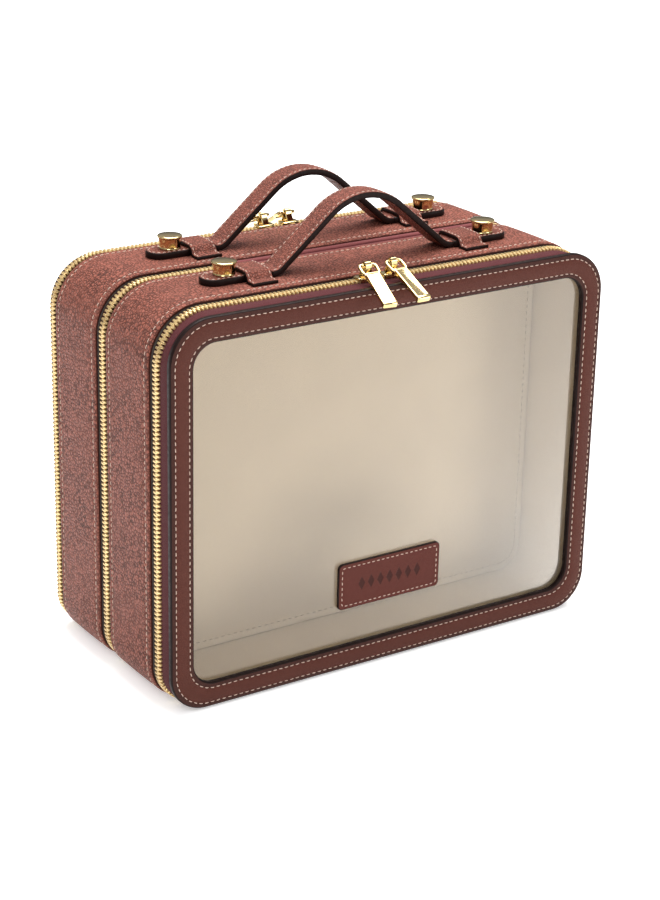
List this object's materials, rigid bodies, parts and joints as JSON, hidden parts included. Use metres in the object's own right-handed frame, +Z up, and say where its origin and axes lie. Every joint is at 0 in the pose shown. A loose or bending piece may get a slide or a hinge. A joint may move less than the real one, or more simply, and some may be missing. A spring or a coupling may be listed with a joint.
{
  "type": "makeup train case",
  "caption": "Double-sided leather train case with clear zip doors, two arched strap handles on sliding ends, and metal posts, sliders and pulls.",
  "frame": {"origin": "centre of the footprint, on the surface the case stands on", "axes": "+X to the right seen from the front, +Z up, -Y out of the front window"},
  "size_m": [0.2941, 0.1822, 0.2685],
  "materials": {
    "pebbled_leather": "pebbled grain, satin",
    "frame_leather": "fine grain, satin",
    "strap_leather": "pebbled grain, painted edges",
    "badge_leather": "smooth, painted edges",
    "stiffener": "rough board",
    "lining": "smooth matt lining",
    "backing_cloth": "matt weave",
    "zip_tape": "fine woven tape",
    "zip_teeth": "polished",
    "gold_metal": "polished pale gold",
    "window": "clear, glossy, flexible"
  },
  "bodies": {
    "front_case": {"front_band_leather": "pebbled_leather", "front_band_board": "stiffener", "front_band_lining": "lining", "front_partition": "lining", "front_partition_backing": "backing_cloth", "front_keeper_left": "strap_leather", "front_keeper_right": "strap_leather", "front_hinge_strip": "zip_tape", "front_zip_tape_case": "zip_tape", "front_zip_chain_case": "zip_teeth", "front_middle_zip_tape": "zip_tape", "front_middle_zip_chain": "zip_teeth", "front_handle_strap": "strap_leather"},
    "front_door": {"front_door_frame": "frame_leather", "front_door_backing": "lining", "front_window": "window", "front_zip_tape_door": "zip_tape", "front_zip_chain_door": "zip_teeth", "front_badge": "badge_leather"},
    "front_zip_slider_left": {"front_slider_left": "gold_metal"},
    "front_zip_pull_left": {"front_pull_left": "gold_metal"},
    "front_strap_end_left": {"front_handle_end_left": "strap_leather", "front_post_left": "gold_metal"},
    "front_zip_slider_right": {"front_slider_right": "gold_metal"},
    "front_zip_pull_right": {"front_pull_right": "gold_metal"},
    "front_strap_end_right": {"front_handle_end_right": "strap_leather", "front_post_right": "gold_metal"},
    "rear_case": {"rear_band_leather": "pebbled_leather", "rear_band_board": "stiffener", "rear_band_lining": "lining", "rear_partition": "lining", "rear_partition_backing": "backing_cloth", "rear_keeper_left": "strap_leather", "rear_keeper_right": "strap_leather", "rear_hinge_strip": "zip_tape", "rear_zip_tape_case": "zip_tape", "rear_zip_chain_case": "zip_teeth", "rear_middle_zip_tape": "zip_tape", "rear_middle_zip_chain": "zip_teeth", "rear_handle_strap": "strap_leather"},
    "rear_door": {"rear_door_frame": "frame_leather", "rear_door_backing": "lining", "rear_window": "window", "rear_zip_tape_door": "zip_tape", "rear_zip_chain_door": "zip_teeth"},
    "rear_zip_slider_left": {"rear_slider_left": "gold_metal"},
    "rear_zip_pull_left": {"rear_pull_left": "gold_metal"},
    "rear_strap_end_left": {"rear_handle_end_left": "strap_leather", "rear_post_left": "gold_metal"},
    "rear_zip_slider_right": {"rear_slider_right": "gold_metal"},
    "rear_zip_pull_right": {"rear_pull_right": "gold_metal"},
    "rear_strap_end_right": {"rear_handle_end_right": "strap_leather", "rear_post_right": "gold_metal"},
    "middle_zip_slider": {"middle_slider": "gold_metal"},
    "middle_zip_pull": {"middle_pull": "gold_metal"}
  },
  "joints": [
    {"name": "front_door_hinge", "type": "hinge", "parent": "front_case", "child": "front_door", "pos_m": [0, -0.074, 0.0023], "axis": [1, 0, 0], "range_deg": [0, 90]},
    {"name": "front_slider_left_run", "type": "slide", "parent": "front_case", "child": "front_zip_slider_left", "axis": [-1, 0, 0], "range_m": [0, 0.09]},
    {"name": "front_pull_left_swing", "type": "hinge", "parent": "front_zip_slider_left", "child": "front_zip_pull_left", "pos_m": [-0.013, -0.061, 0.235], "axis": [-0.9903, 0.1392, 0], "range_deg": [0, 180]},
    {"name": "front_handle_left_slide", "type": "slide", "parent": "front_case", "child": "front_strap_end_left", "axis": [-1, 0, 0], "range_m": [0, 0.012]},
    {"name": "front_slider_right_run", "type": "slide", "parent": "front_case", "child": "front_zip_slider_right", "axis": [1, 0, 0], "range_m": [0, 0.09]},
    {"name": "front_pull_right_swing", "type": "hinge", "parent": "front_zip_slider_right", "child": "front_zip_pull_right", "pos_m": [0.004, -0.061, 0.235], "axis": [-0.9994, -0.0349, 0], "range_deg": [0, 180]},
    {"name": "front_handle_right_slide", "type": "slide", "parent": "front_case", "child": "front_strap_end_right", "axis": [1, 0, 0], "range_m": [0, 0.012]},
    {"name": "rear_case_slide", "type": "slide", "parent": "front_case", "child": "rear_case", "axis": [0, 1, 0], "range_m": [0, 0.12]},
    {"name": "rear_door_hinge", "type": "hinge", "parent": "rear_case", "child": "rear_door", "pos_m": [0, 0.065, 0.0043], "axis": [-1, 0, 0], "range_deg": [0, 90]},
    {"name": "rear_slider_left_run", "type": "slide", "parent": "rear_case", "child": "rear_zip_slider_left", "axis": [-1, 0, 0], "range_m": [0, 0.09]},
    {"name": "rear_pull_left_swing", "type": "hinge", "parent": "rear_zip_slider_left", "child": "rear_zip_pull_left", "pos_m": [-0.004, 0.061, 0.233], "axis": [0.9903, 0.1392, 0], "range_deg": [0, 180]},
    {"name": "rear_handle_left_slide", "type": "slide", "parent": "rear_case", "child": "rear_strap_end_left", "axis": [-1, 0, 0], "range_m": [0, 0.012]},
    {"name": "rear_slider_right_run", "type": "slide", "parent": "rear_case", "child": "rear_zip_slider_right", "axis": [1, 0, 0], "range_m": [0, 0.09]},
    {"name": "rear_pull_right_swing", "type": "hinge", "parent": "rear_zip_slider_right", "child": "rear_zip_pull_right", "pos_m": [0.013, 0.061, 0.233], "axis": [0.9994, -0.0349, 0], "range_deg": [0, 180]},
    {"name": "rear_handle_right_slide", "type": "slide", "parent": "rear_case", "child": "rear_strap_end_right", "axis": [1, 0, 0], "range_m": [0, 0.012]},
    {"name": "middle_slider_run", "type": "slide", "parent": "front_case", "child": "middle_zip_slider", "axis": [0, 0, -1], "range_m": [0, 0.13]},
    {"name": "middle_pull_swing", "type": "hinge", "parent": "middle_zip_slider", "child": "middle_zip_pull", "pos_m": [0.147, 0, 0.172], "axis": [0, -1, 0], "range_deg": [0, 150]}
  ],
  "couplings": [
    {"joint": "front_handle_right_slide", "follows": "front_handle_left_slide", "ratio": 1},
    {"joint": "rear_handle_right_slide", "follows": "rear_handle_left_slide", "ratio": 1}
  ]
}
